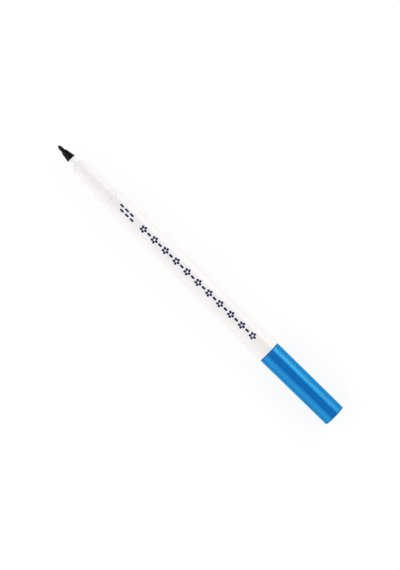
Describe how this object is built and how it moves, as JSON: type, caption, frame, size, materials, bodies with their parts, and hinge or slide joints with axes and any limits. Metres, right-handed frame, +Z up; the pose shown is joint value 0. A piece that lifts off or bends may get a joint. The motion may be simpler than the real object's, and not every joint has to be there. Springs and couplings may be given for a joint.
{
  "type": "water-soluble fabric marker",
  "caption": "Slim fibre-tip fabric marker: fine nib in a black cone, white barrel stepped down to a neck, and a blue pull-off cap posted on its rear end.",
  "frame": {"origin": "on the resting surface, under the middle of the pen as it lies on its side with the cap posted on the rear", "axes": "+X along the pen's axis from the nib towards the closed end of the cap, +Z up"},
  "size_m": [0.151, 0.0102, 0.0102],
  "materials": {
    "nib_fibre": "bonded fibre, ink-dark, matt",
    "holder_plastic": "black moulded plastic, satin",
    "barrel_plastic": "white moulded polypropylene, glossy",
    "cap_plastic": "clear blue moulded polypropylene colour, glossy",
    "inner_cap_plastic": "soft natural polyethylene, satin",
    "reservoir_fibre": "ink-soaked polyester fibre",
    "sleeve_film": "thin polypropylene film"
  },
  "bodies": {
    "pen": {"nib": "nib_fibre", "nib_holder": "holder_plastic", "barrel": "barrel_plastic", "ink_reservoir": "reservoir_fibre", "reservoir_sleeve": "sleeve_film", "tail_plug": "barrel_plastic"},
    "cap": {"cap": "cap_plastic", "inner_cap": "inner_cap_plastic"}
  },
  "joints": [
    {"name": "cap_pull", "type": "slide", "parent": "pen", "child": "cap", "axis": [1, 0, 0], "range_m": [0, 0.025]}
  ]
}
